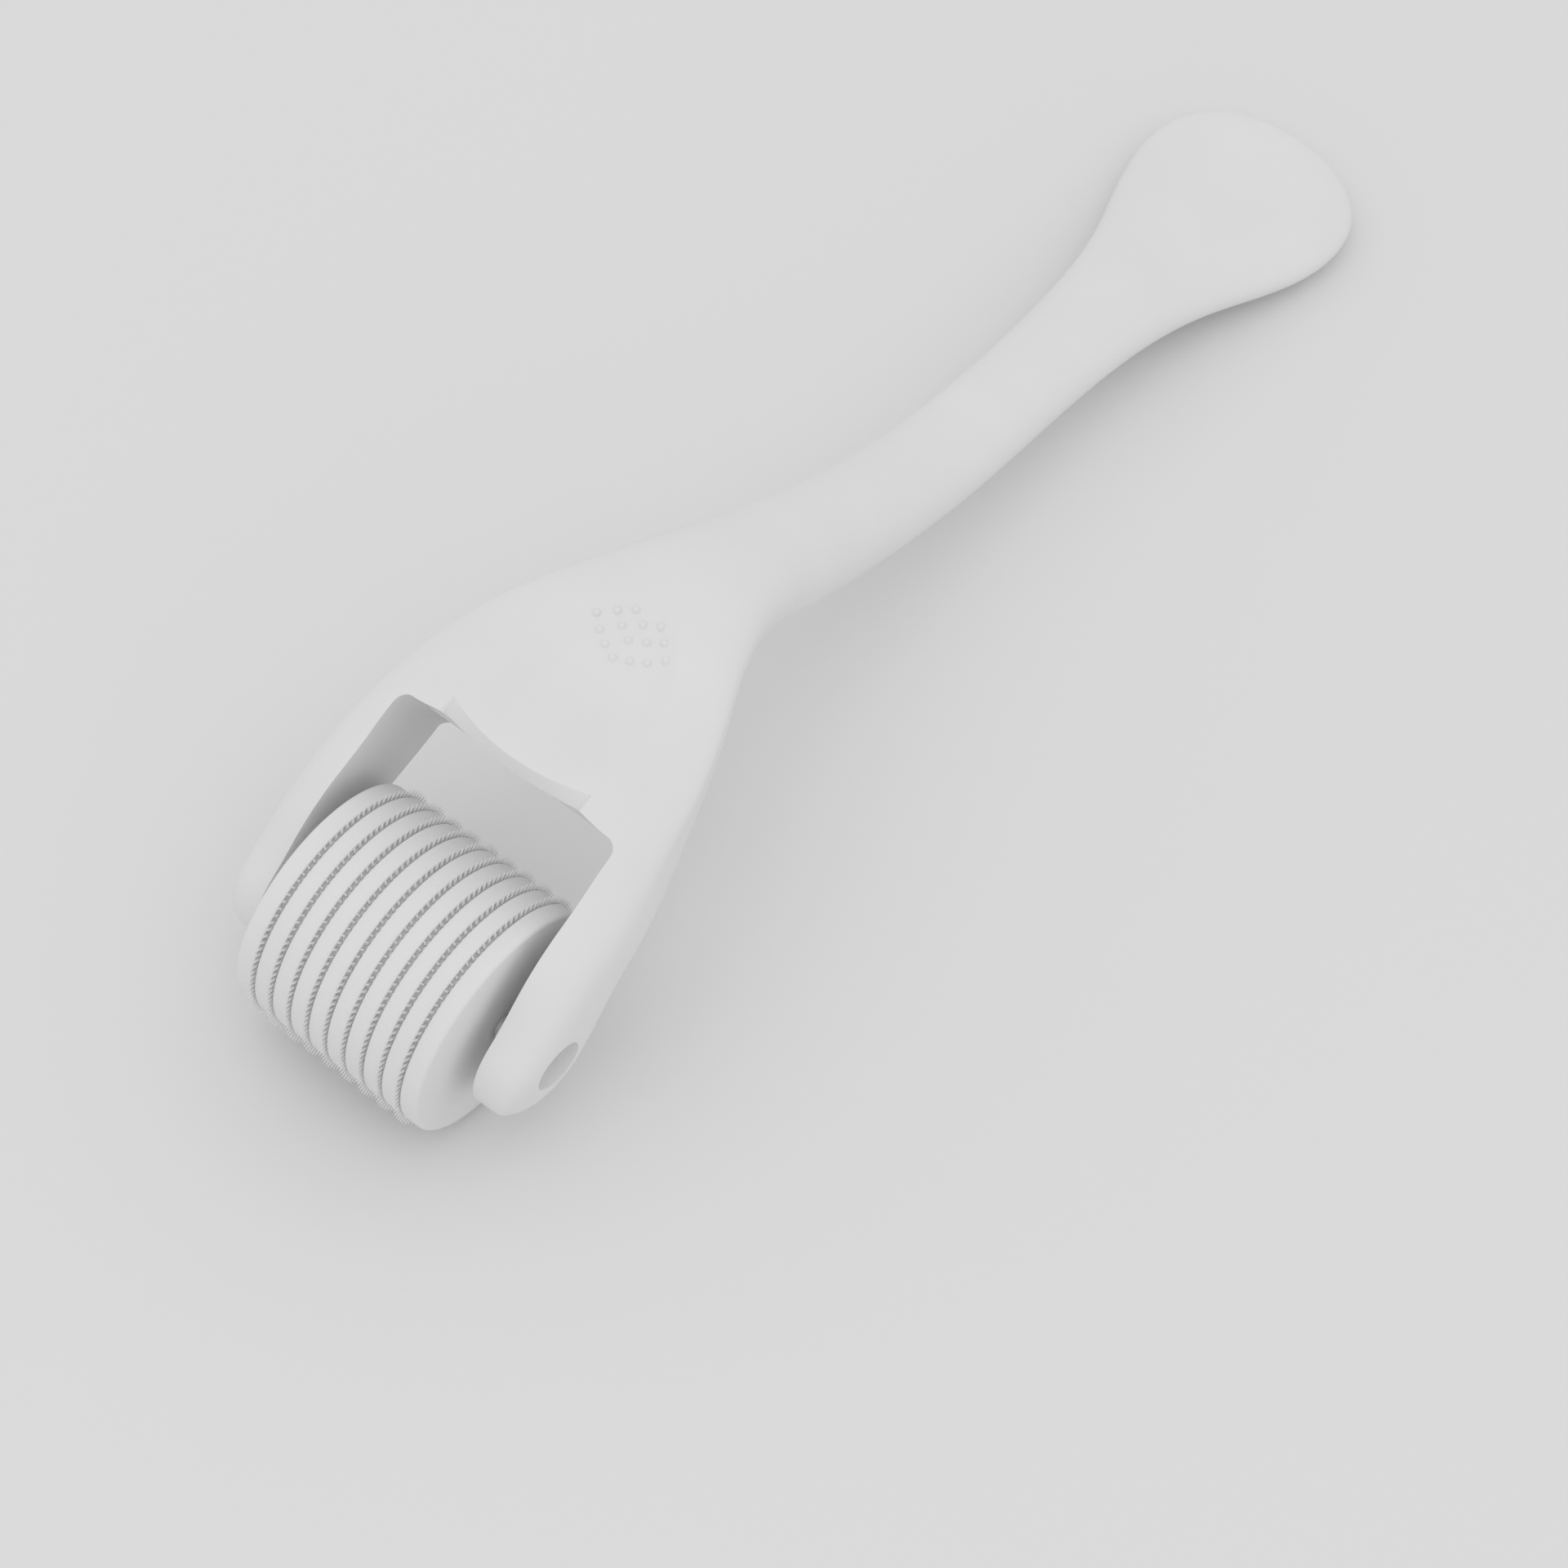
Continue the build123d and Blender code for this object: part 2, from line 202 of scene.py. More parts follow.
SHARP_ANGLE = 35.0           # degrees; a sharper edge isn't shaded smooth
NEEDLE_SHARP_ANGLE = 50.0


# --- Materials --------------------------------------------------------------------------------

def new_material(name):
    """A material, its Principled shader and a node that gives its object coordinates."""
    material = bpy.data.materials.new(name)
    material.use_nodes = True
    nodes = material.node_tree.nodes
    return material, nodes["Principled BSDF"], nodes.new("ShaderNodeTexCoord")


def noise(material, place, scale, detail=3.0, stretch=None):
    """The 0 to 1 output of a noise of about 1 / scale metres, squeezed along X, Y and Z by stretch."""
    tree = material.node_tree
    texture = tree.nodes.new("ShaderNodeTexNoise")
    texture.inputs["Scale"].default_value = scale
    texture.inputs["Detail"].default_value = detail
    if stretch:
        mapping = tree.nodes.new("ShaderNodeMapping")
        mapping.inputs["Scale"].default_value = stretch
        tree.links.new(place.outputs["Object"], mapping.inputs["Vector"])
        tree.links.new(mapping.outputs["Vector"], texture.inputs["Vector"])
    else:
        tree.links.new(place.outputs["Object"], texture.inputs["Vector"])
    return texture.outputs["Fac"]


def ramp(material, source, low, high, low_at=0.3, high_at=0.7):
    """Colours or greys spread over part of a 0 to 1 value."""
    node = material.node_tree.nodes.new("ShaderNodeValToRGB")
    node.color_ramp.elements[0].position = low_at
    node.color_ramp.elements[1].position = high_at
    node.color_ramp.elements[0].color = low
    node.color_ramp.elements[1].color = high
    material.node_tree.links.new(source, node.inputs["Fac"])
    return node.outputs["Color"]


def grey(value):
    return (value, value, value, 1.0)


def tinted(colour, factor):
    return tuple(channel * factor for channel in colour[:3]) + (1.0,)


def bump(material, shader, heights):
    """Bumps one after another: each is (height output, strength, distance in metres)."""
    tree = material.node_tree
    below = None
    for height, strength, distance in heights:
        node = tree.nodes.new("ShaderNodeBump")
        node.inputs["Strength"].default_value = strength
        node.inputs["Distance"].default_value = distance
        tree.links.new(height, node.inputs["Height"])
        if below:
            tree.links.new(below, node.inputs["Normal"])
        below = node.outputs["Normal"]
    tree.links.new(below, shader.inputs["Normal"])


def moulded_plastic(name, colour, roughness, grain=0.25):
    """Matt moulded plastic: faint cloudiness, fine spark-eroded grain and a few rubbed streaks."""
    material, shader, place = new_material(name)
    tree = material.node_tree
    clouds = noise(material, place, scale=90, detail=4)
    tree.links.new(
        ramp(material, clouds, tinted(colour, 0.985), tinted(colour, 1.012)),
        shader.inputs["Base Color"],
    )
    rubbed = noise(material, place, scale=260, detail=5, stretch=(2.5, 0.5, 1.5))
    tree.links.new(
        ramp(material, rubbed, grey(roughness - 0.05), grey(roughness + 0.05)),
        shader.inputs["Roughness"],
    )
    fine = noise(material, place, scale=9000, detail=2)
    coarse = noise(material, place, scale=2600, detail=3)
    bump(material, shader, [(coarse, grain * 0.6, 0.00002), (fine, grain, 0.00001)])
    shader.inputs["IOR"].default_value = 1.49
    shader.inputs["Specular IOR Level"].default_value = 0.35
    return material


def needle_steel(name, colour, roughness):
    """Etched stainless steel: finely brushed, with a slight mottle and a pale, soft shine."""
    material, shader, place = new_material(name)
    tree = material.node_tree
    mottle = noise(material, place, scale=1800, detail=4)
    tree.links.new(
        ramp(material, mottle, tinted(colour, 0.93), tinted(colour, 1.04)),
        shader.inputs["Base Color"],
    )
    brushed = noise(material, place, scale=5200, detail=3, stretch=(6.0, 1.0, 1.0))
    tree.links.new(
        ramp(material, brushed, grey(roughness - 0.08), grey(roughness + 0.08)),
        shader.inputs["Roughness"],
    )
    bump(material, shader, [(brushed, 0.15, 0.000005)])
    shader.inputs["Metallic"].default_value = 0.15
    return material


PALE = (0.80, 0.80, 0.80, 1.0)
handle_plastic = moulded_plastic("handle_plastic", PALE, roughness=0.62)
drum_plastic = moulded_plastic("drum_plastic", PALE, roughness=0.55, grain=0.15)
bush_plastic = moulded_plastic("bush_plastic", tinted(PALE, 0.97), roughness=0.5, grain=0.15)
disc_steel = needle_steel("needle_steel", (0.80, 0.80, 0.81, 1.0), roughness=0.42)
pin_steel = needle_steel("pin_steel", (0.70, 0.70, 0.71, 1.0), roughness=0.3)


# --- Meshes -----------------------------------------------------------------------------------

def to_scene(name, data):
    """A new object of this mesh, light or camera, in the scene."""
    placed = bpy.data.objects.new(name, data)
    bpy.context.scene.collection.objects.link(placed)
    return placed


def to_mesh(name, mesh_builder):
    """A mesh made from a bmesh, which is then freed."""
    mesh = bpy.data.meshes.new(name)
    mesh_builder.to_mesh(mesh)
    mesh_builder.free()
    return mesh


def shade(mesh, sharp=SHARP_ANGLE):
    mesh.shade_smooth()
    mesh.set_sharp_from_angle(angle=radians(sharp))


def finish_piece(name, mesh_builder, material, body, replaced, sharp=SHARP_ANGLE):
    """Turns a bmesh in drum millimetres into a smooth-shaded piece that rides on a body."""
    mesh_builder.transform(TO_FRAME)
    mesh = to_mesh(name, mesh_builder)
    shade(mesh, sharp)
    mesh.materials.append(material)
    piece = to_scene(name, mesh)
    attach(piece, body)
    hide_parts(replaced)
    return piece


def add_faces(mesh_builder, points, faces):
    corners = [mesh_builder.verts.new(point) for point in points]
    for face in faces:
        mesh_builder.faces.new([corners[index] for index in face])


def add_grid(mesh_builder, points):
    """Quads between rows and columns of points."""
    rows, columns = points.shape[:2]
    faces = [
        (row * columns + column, row * columns + column + 1,
         (row + 1) * columns + column + 1, (row + 1) * columns + column)
        for row in range(rows - 1)
        for column in range(columns - 1)
    ]
    add_faces(mesh_builder, points.reshape(-1, 3), faces)


def band(low, high, count):
    """Quads between two rings of points, each given by its first point's number."""
    afters = [(index + 1) % count for index in range(count)]
    return [(low + index, low + after, high + after, high + index) for index, after in enumerate(afters)]


def fan(ring, count, tip):
    """Triangles from a ring of points to one point."""
    return [(ring + index, ring + (index + 1) % count, tip) for index in range(count)]


def lathe(profile, segments=RING_SEGMENTS):
    """A closed ring, or a solid where the profile ends on the axis, from (x, radius) points."""
    turned = bmesh.new()
    angles = np.arange(segments) * 2 * pi / segments
    rings = []
    for x, radius in profile:
        if radius == 0:
            rings.append([turned.verts.new((x, 0, 0))])
        else:
            rings.append([turned.verts.new((x, radius * cos(a), radius * sin(a))) for a in angles])
    pairs = list(zip(rings, rings[1:]))
    if len(rings[0]) > 1:
        pairs.append((rings[-1], rings[0]))
    for ring, following in pairs:
        for index in range(segments):
            after = (index + 1) % segments
            if len(ring) == 1:
                turned.faces.new((ring[0], following[after], following[index]))
            elif len(following) == 1:
                turned.faces.new((ring[index], ring[after], following[0]))
            else:
                turned.faces.new((ring[index], ring[after], following[after], following[index]))
    bmesh.ops.recalc_face_normals(turned, faces=turned.faces)
    return turned


def quarter(centre_x, centre_r, radius, start, steps=4):
    """Points of a quarter round on a lathe profile, from an angle in degrees, anticlockwise."""
    return [
        (centre_x + radius * cos(radians(start + 90 * step / steps)),
         centre_r + radius * sin(radians(start + 90 * step / steps)))
        for step in range(steps + 1)
    ]


def cubic_through(knots, rows):
    """Natural cubic spline through rows of numbers, as a function of the knots' value."""
    gaps = np.diff(knots)
    count = len(knots)
    system = np.eye(count)
    target = np.zeros_like(rows)
    for index in range(1, count - 1):
        before, after = gaps[index - 1], gaps[index]
        system[index, index - 1:index + 2] = before, 2 * (before + after), after
        target[index] = 6 * (
            (rows[index + 1] - rows[index]) / after - (rows[index] - rows[index - 1]) / before
        )
    bend = np.linalg.solve(system, target)

    def value(at):
        at = np.asarray(at, float)
        index = np.clip(np.searchsorted(knots, at) - 1, 0, count - 2)
        span = gaps[index][..., None]
        early = (knots[index + 1] - at)[..., None] / span
        late = 1 - early
        curve = (early ** 3 - early) * bend[index] + (late ** 3 - late) * bend[index + 1]
        return early * rows[index] + late * rows[index + 1] + curve * span ** 2 / 6

    return value


# --- Handle -----------------------------------------------------------------------------------

def key_sections():
    """Rows of numbers like the stations, for the round tip, the stations and beyond the tail."""
    rows = []
    for angle in HUB_ANGLES:
        along, height = sin(radians(angle)) * HUB_R, cos(radians(angle))
        rows.append((
            along * cos(radians(ARM_SLOPE)),
            along * sin(radians(ARM_SLOPE)),
            HUB_HALF_WIDTH - HUB_EDGE * (1 - height),
            HUB_R * height,
            0.0,
            HUB_SQUARENESS,
            HUB_SQUARENESS,
            ARM_SLOPE,
        ))
    rows += STATIONS
    y, z, half_width, half_height, *rest = STATIONS[-2]
    rows.append((y, z, -half_width, -half_height, *rest))   # rounds the tail
    return np.array(rows)


SECTION_ROWS = key_sections()
STEPS = np.linalg.norm(np.diff(SECTION_ROWS[:, :4], axis=0), axis=1)
SECTION_KNOTS = np.concatenate([[0], np.cumsum(STEPS)])
section_at = cubic_through(SECTION_KNOTS, SECTION_ROWS)
TIP_T, TAIL_T = SECTION_KNOTS[1], SECTION_KNOTS[-2]   # the knots beyond only round the ends


def on_section(section, x, up):
    """Points x across and up from the middle line, on sections given as rows."""
    slope = np.radians(section[..., 7])
    y = section[..., 0] - up * np.sin(slope)
    z = section[..., 1] + up * np.cos(slope)
    return np.stack(np.broadcast_arrays(x, y, z), axis=-1)


def half_outline(section, side):
    """Height of the section's half above or below its widest line, and that half's squareness."""
    rise = section[..., 4]
    if side > 0:
        return section[..., 3] - rise, section[..., 5]
    return section[..., 3] + rise, section[..., 6]


def skin_height(section, x, side):
    """How far the skin stands above the middle line at x, on the upper or the lower side."""
    half_width = np.maximum(section[..., 2], TINY)
    height, squareness = half_outline(section, side)
    inside = np.clip(1 - np.abs(x / half_width) ** squareness, 0, None)
    return section[..., 4] + side * height * inside ** (1 / squareness)


def plan_y(points):
    """Distance from the drum's axis, square to the mould's pull."""
    return points[..., 1] * cos(MOULD_TILT) + points[..., 2] * sin(MOULD_TILT)


def smooth_step(value):
    value = np.clip(value, 0, 1)
    return value * value * (3 - 2 * value)


fine_t = np.linspace(TIP_T, TAIL_T, FINE_STEPS)
middle_y = plan_y(on_section(section_at(fine_t), 0.0, 0.0))
in_fork = middle_y[:np.argmax(middle_y > FORK_END_Y)]
fork_t = fine_t[:len(in_fork)]


def t_at_plan(y):
    """The handle's parameter where its middle line is y from the drum, in the fork."""
    return np.interp(y, in_fork, fork_t)


CROTCH_T = t_at_plan(CROTCH_Y)
CROTCH_HALF = GAP_BACK - CROTCH_R
WALL_SHARE = CROTCH_HALF / section_at(CROTCH_T)[2]


def arm_rows():
    """Parameter and inner half width of each row from the tip to the crotch's corner."""
    straight = np.linspace(TIP_T, t_at_plan(CROTCH_Y - CROTCH_R), ARM_ROWS)
    along = plan_y(on_section(section_at(straight), 0.0, 0.0))
    inner = GAP_FRONT + (GAP_BACK - GAP_FRONT) * np.clip(along / CROTCH_Y, 0, 1)
    turn = np.linspace(0, pi / 2, CORNER_ROWS + 1)[1:]
    corner_t = t_at_plan(CROTCH_Y - CROTCH_R + CROTCH_R * np.sin(turn))
    corner_inner = inner[-1] - CROTCH_R * (1 - np.cos(turn))
    corner_inner[-1] = CROTCH_HALF
    corner_t[-1] = CROTCH_T
    return np.concatenate([straight, corner_t]), np.concatenate([inner, corner_inner])


def body_rows():
    """Parameter of each row from the crotch to the tail."""
    lip = t_at_plan(np.linspace(CROTCH_Y, REST_FRONT_Y, LIP_ROWS + 1))
    lip[0] = CROTCH_T
    rest = t_at_plan(np.linspace(REST_FRONT_Y, REST_APEX_Y + REST_MARGIN, REST_ROWS + 1)[1:])
    body = np.linspace(rest[-1], TAIL_T, BODY_ROWS + 1)[1:]
    return np.concatenate([lip, rest, body])


def side_points(t, inner, side):
    """The skin from the joint round to the inner edge, at every row."""
    section = section_at(t)
    half_width = np.maximum(section[:, 2], TINY)
    height, squareness = half_outline(section, side)
    share = np.clip(inner / half_width, 0, 1)
    last_angle = np.arccos(share ** (squareness / 2))
    spread = np.linspace(0, 1, SIDE_COLUMNS + 1) ** SIDE_CROWDING
    angle = last_angle[:, None] * spread
    power = 2 / squareness[:, None]
    x = half_width[:, None] * np.cos(angle) ** power
    up = section[:, 4, None] + side * height[:, None] * np.sin(angle) ** power
    return on_section(section[:, None, :], x, up)


def wall_points(t, x, side):
    """The gap's wall from its edge to the joint, at given parameters and x."""
    section = section_at(t)
    edge = skin_height(section, x, side)
    joint = section[:, 4]
    share = np.linspace(1, 0, WALL_COLUMNS + 1)
    up = joint[:, None] + (edge - joint)[:, None] * share
    return on_section(section[:, None, :], x[:, None] * np.ones_like(share), up)


def rest_half_width(y):
    """Half width of the thumb rest's outline, in plan."""
    along = np.clip((y - REST_FRONT_Y) / (REST_APEX_Y - REST_FRONT_Y), 0, 1)
    return REST_HALF_WIDTH * (1 - along ** REST_LATENESS) ** REST_BLUNTNESS


def rest_sunk(x, y):
    """Depth of the thumb rest, which deepens from the scallop's edge and has soft sides."""
    inward = rest_half_width(y) - np.abs(x)
    sides = smooth_step(inward / REST_SIDE + REST_SIDE_START)
    deepening = smooth_step((y - REST_FRONT_Y + REST_BOW) / REST_DEEPENING)
    apex = smooth_step((REST_APEX_Y + REST_OVERRUN - y) / REST_FADE)
    return REST_DEPTH * sides * deepening * apex


def sink(points, depth):
    """Points moved down the mould's pull."""
    points = points.copy()
    points[..., 1] += depth * sin(MOULD_TILT)
    points[..., 2] -= depth * cos(MOULD_TILT)
    return points


def wall_back(x):
    """How far the crotch's wall stands back at the joint, between its corners."""
    return LIP_WAVE * smooth_step((CROTCH_HALF - np.abs(x)) / LIP_CORNER)


def lip_back(x):
    """How far the wall's upper edge stands back beside the scallop, and forward in its middle."""
    beside = np.clip((CROTCH_HALF - np.abs(x)) / (CROTCH_HALF - SCALLOP_HALF), 0, 1)
    bulge = np.clip(1 - (x / SCALLOP_HALF) ** 2, 0, None)
    return LIP_WAVE * smooth_step(beside) * (1 - LIP_BULGE * bulge)


def middle_points(t, columns, side):
    """The skin between the two inner edges; on the upper side it holds the thumb rest."""
    share = np.linspace(1, -1, columns + 1)
    half = section_at(t)[:, 2] * WALL_SHARE
    x = half[:, None] * share
    row = np.arange(len(t))[:, None]
    front = np.clip(row / LIP_ROWS, 0, 1)
    if side < 0:
        section = section_at(t[:, None] + (1 - front) * wall_back(share * CROTCH_HALF))
        return on_section(section, x, skin_height(section, x, side))
    past_front = (row - LIP_ROWS) * (REST_APEX_Y - REST_FRONT_Y) / REST_ROWS
    behind = np.clip(1 - past_front / BOW_FADE, 0, 1) ** 2
    bow = REST_BOW * np.clip(1 - (x / REST_HALF_WIDTH) ** 2, 0, None)
    shift = np.where(row <= LIP_ROWS, (1 - front) * lip_back(x) - front * bow, -behind * bow)
    section = section_at(t[:, None] + shift)
    points = on_section(section, x, skin_height(section, x, side))
    end = SCALLOP_HALF + (REST_HALF_WIDTH - SCALLOP_HALF) * front
    end_face = SCALLOP_SIDE * (1 - front) + SCALLOP_SIDE_TOP
    scallop = SCALLOP_DEPTH * (1 - front) * smooth_step((end + end_face - np.abs(x)) / end_face)
    depth = np.where(row <= LIP_ROWS, scallop, rest_sunk(x, plan_y(points)))
    return sink(points, depth)


def rest_floor(section, x):
    """Points on the thumb rest's floor."""
    points = on_section(section, x, skin_height(section, x, 1))
    return sink(points, rest_sunk(x, plan_y(points)))


def dot_frame(x, y):
    """A dot's place on the thumb rest's floor, and the directions across, along and out of it."""
    section = section_at(fork_t)
    skin = on_section(section, x, skin_height(section, x, 1))
    t = np.interp(y, plan_y(skin), fork_t)
    line = rest_floor(section_at(np.array([t - DOT_PROBE, t, t + DOT_PROBE])), x)
    beside = rest_floor(section_at(np.array([t])), x + DOT_PROBE)
    along = Vector(line[2] - line[0]).normalized()
    aside = Vector(beside[0] - line[1]).normalized()
    return Vector(line[1]), aside, along, aside.cross(along).normalized()


def add_dot(mesh_builder, x, y):
    """A low dome with a soft foot, closed below the thumb rest's floor."""
    base, aside, along, up = dot_frame(x, y)
    turn = np.arange(DOT_COLUMNS) * 2 * pi / DOT_COLUMNS
    points = [base + up * DOT_HEIGHT]
    for ring in range(DOT_RINGS - 1):
        share = ring / (DOT_RINGS - 1)
        radius = DOT_R * cos(share * pi / 2) ** DOT_FULLNESS + DOT_FOOT * (1 - share) ** DOT_FOOT_CURVE
        height = DOT_HEIGHT * sin(share * pi / 2) - DOT_FOOT * (1 - share)
        points += [base + up * height + (aside * cos(a) + along * sin(a)) * radius for a in turn]
    points.append(base - up * DOT_ROOT)
    rings = [1 + ring * DOT_COLUMNS for ring in range(DOT_RINGS - 1)]
    faces = fan(rings[-1], DOT_COLUMNS, 0)
    for low, high in zip(rings, rings[1:]):
        faces += band(low, high, DOT_COLUMNS)
    faces += [face[::-1] for face in fan(rings[0], DOT_COLUMNS, len(points) - 1)]
    add_faces(mesh_builder, points, faces)


def add_dots(mesh_builder):
    """The raised dots, given for one half of the thumb rest and mirrored."""
    for x, y in (place for row in DOT_ROWS for place in row):
        add_dot(mesh_builder, x, y)
        if x:
            add_dot(mesh_builder, -x, y)


def shell(side, columns):
    """One half of the handle, closed along the joint, which follows the middle line."""
    built = bmesh.new()
    arm_t, inner = arm_rows()
    body_t = body_rows()
    body_inner = section_at(body_t)[:, 2] * WALL_SHARE
    arm_side = side_points(arm_t, inner, side)
    arm_wall = wall_points(arm_t, inner, side)
    body_side = side_points(body_t, body_inner, side)
    middle = middle_points(body_t, columns, side)
    crotch_x = np.linspace(1, -1, columns + 1) * CROTCH_HALF
    crotch = wall_points(CROTCH_T + wall_back(crotch_x), crotch_x, side)
    share = np.linspace(0, 1, WALL_COLUMNS + 1)[:, None]
    crotch = middle[0][:, None] * (1 - share) + crotch[:, -1:] * share
    mirror = np.array([-1.0, 1.0, 1.0])
    for flip in (np.ones(3), mirror):
        add_grid(built, arm_side * flip)
        add_grid(built, arm_wall * flip)
        add_grid(built, body_side * flip)
        joint = np.stack([arm_side[1:, 0], arm_wall[1:, -1]], axis=1) * flip
        add_grid(built, joint)
        tip = np.concatenate([arm_side[0] * flip, joint[:1, ::-1].reshape(-1, 3)])
        add_faces(built, tip, [range(len(tip))])
    add_grid(built, middle)
    add_grid(built, crotch)
    body_joint = np.stack([body_side[1:, 0], body_side[1:, 0] * mirror], axis=1)
    add_grid(built, body_joint)
    behind_crotch = np.concatenate([
        body_side[:1, 0], crotch[:, -1], body_side[:1, 0] * mirror, body_joint[0, ::-1],
    ])
    add_faces(built, behind_crotch, [range(len(behind_crotch))])
    bmesh.ops.remove_doubles(built, verts=built.verts, dist=WELD)
    bmesh.ops.dissolve_degenerate(built, edges=built.edges, dist=SHORTEST_EDGE)
    bmesh.ops.recalc_face_normals(built, faces=built.faces)
    if built.calc_volume(signed=True) < 0:
        bmesh.ops.reverse_faces(built, faces=built.faces)
    for vertex in built.verts:
        vertex.co.z = max(vertex.co.z, -NEEDLE_TIP_R)   # the flat that the tail rests on
    return built


def rim_edges(built):
    """The sharp edges round the gap, without those along the shells' joint."""
    found = []
    fine = section_at(fine_t)
    joint = on_section(fine, 0.0, fine[:, 4])
    for edge in built.edges:
        if len(edge.link_faces) != 2 or edge.calc_face_angle(0) < GAP_EDGE_ANGLE:
            continue
        off_joint = [
            np.hypot(joint[:, 1] - vertex.co.y, joint[:, 2] - vertex.co.z).min() >= JOINT_NEAR
            for vertex in edge.verts
        ]
        if any(off_joint):
            found.append(edge)
    return found


def cut_by(piece, cutter):
    """The piece with the cutter's volume taken away, as a plain mesh."""
    modifier = piece.modifiers.new("cut", "BOOLEAN")
    modifier.operation = "DIFFERENCE"
    modifier.solver = "EXACT"
    modifier.object = cutter
    depsgraph = bpy.context.evaluated_depsgraph_get()
    mesh = bpy.data.meshes.new_from_object(piece.evaluated_get(depsgraph), depsgraph=depsgraph)
    piece.modifiers.remove(modifier)
    piece.data = mesh
    shade(mesh)


def make_handle():
    seat = lathe([
        (-BUSH_SEAT_REACH, 0), (-BUSH_SEAT_REACH, BUSH_SEAT_R),
        (BUSH_SEAT_REACH, BUSH_SEAT_R), (BUSH_SEAT_REACH, 0),
    ], SEAT_SEGMENTS)
    seat.transform(TO_FRAME)
    cutter = to_scene("seat", to_mesh("seat", seat))
    for half, side, columns in (("upper", 1, UPPER_COLUMNS), ("lower", -1, LOWER_COLUMNS)):
        built = shell(side, columns)
        bmesh.ops.bevel(
            built, geom=rim_edges(built), offset=GAP_EDGE_R, segments=EDGE_SEGMENTS,
            profile=0.5, affect="EDGES", clamp_overlap=True,
        )
        piece = finish_piece(
            f"handle_{half}_cover", built, handle_plastic, "handle", f"handle_{half}_shell",
        )
        cut_by(piece, cutter)
        if side > 0:
            with_dots = bmesh.new()
            add_dots(with_dots)
            with_dots.transform(TO_FRAME)
            with_dots.from_mesh(piece.data)
            with_dots.to_mesh(piece.data)
            with_dots.free()
    bpy.data.objects.remove(cutter)


# --- Drum -------------------------------------------------------------------------------------

def land_profile(low, high, low_edge, high_edge):
    """The smooth land between two grooves, with its edges rounded."""
    return (
        quarter(high - high_edge, DRUM_R - high_edge, high_edge, 0)
        + quarter(low + low_edge, DRUM_R - low_edge, low_edge, 90)
    )


def make_drum():
    """The lands between the discs, and the two end caps."""
    ring_half = (DISC_PITCH - DISC_THICKNESS) / 2
    land_half = (DISC_PITCH - GROOVE_WIDTH) / 2
    for number in range(DISC_COUNT - 1):
        centre = (number - (DISC_COUNT - 2) / 2) * DISC_PITCH
        profile = [
            (centre + ring_half, BORE_R), (centre + ring_half, NEEDLE_ROOT_R),
            (centre + land_half, NEEDLE_ROOT_R),
            *land_profile(centre - land_half, centre + land_half, LAND_EDGE_R, LAND_EDGE_R),
            (centre - land_half, NEEDLE_ROOT_R), (centre - ring_half, NEEDLE_ROOT_R),
            (centre - ring_half, BORE_R),
        ]
        finish_piece(
            f"land_ring_{number + 1}", lathe(profile), drum_plastic, "roller",
            f"spacer_ring_{number + 1}",
        )
    outer_disc = (DISC_COUNT - 1) / 2 * DISC_PITCH
    land_start = outer_disc + GROOVE_WIDTH / 2
    disc_face = outer_disc + DISC_THICKNESS / 2
    profile = [
        (DRUM_HALF_WIDTH, PIN_SEAT_R),
        *land_profile(land_start, DRUM_HALF_WIDTH, LAND_EDGE_R, CAP_EDGE_R),
        (land_start, NEEDLE_ROOT_R), (disc_face, NEEDLE_ROOT_R), (disc_face, PIN_SEAT_R),
    ]
    for side, end in ((1, "right"), (-1, "left")):
        placed = [(side * x, radius) for x, radius in profile]
        finish_piece(
            f"drum_cap_{end}", lathe(placed), drum_plastic, "roller", f"end_cap_{end}",
        )


def add_needle(mesh_builder, centre, angle):
    """One fine round needle, tapered to a point, standing out from the disc's rim."""
    middle = Vector((centre, 0, 0))
    out = Vector((0, cos(angle), sin(angle)))
    along_rim = Vector((0, -sin(angle), cos(angle)))
    points = []
    for distance, radius in NEEDLE_LEVELS:
        for corner in range(NEEDLE_SIDES):
            turn = 2 * pi * corner / NEEDLE_SIDES
            offset = Vector((cos(turn) * radius, 0, 0)) + along_rim * (sin(turn) * radius)
            points.append(middle + out * distance + offset)
    points.append(middle + out * NEEDLE_TIP_R)
    rings = [level * NEEDLE_SIDES for level in range(len(NEEDLE_LEVELS))]
    faces = [tuple(range(NEEDLE_SIDES - 1, -1, -1))]
    for low, high in zip(rings, rings[1:]):
        faces += band(low, high, NEEDLE_SIDES)
    faces += fan(rings[-1], NEEDLE_SIDES, len(points) - 1)
    add_faces(mesh_builder, points, faces)


def needle_disc(centre):
    """A thin disc with a needle at every step of its rim."""
    half = DISC_THICKNESS / 2
    built = lathe([
        (centre + half, BORE_R), (centre + half, NEEDLE_ROOT_R - DISC_EDGE),
        (centre + half - DISC_EDGE, NEEDLE_ROOT_R), (centre - half + DISC_EDGE, NEEDLE_ROOT_R),
        (centre - half, NEEDLE_ROOT_R - DISC_EDGE), (centre - half, BORE_R),
    ], DISC_SEGMENTS)
    for number in range(NEEDLE_COUNT):
        add_needle(built, centre, 2 * pi * number / NEEDLE_COUNT)
    bmesh.ops.recalc_face_normals(built, faces=built.faces)
    return built


def make_needles():
    for number in range(DISC_COUNT):
        centre = (number - (DISC_COUNT - 1) / 2) * DISC_PITCH
        finish_piece(
            f"needle_row_{number + 1}", needle_disc(centre), disc_steel, "roller",
            f"needle_disc_{number + 1}", NEEDLE_SHARP_ANGLE,
        )


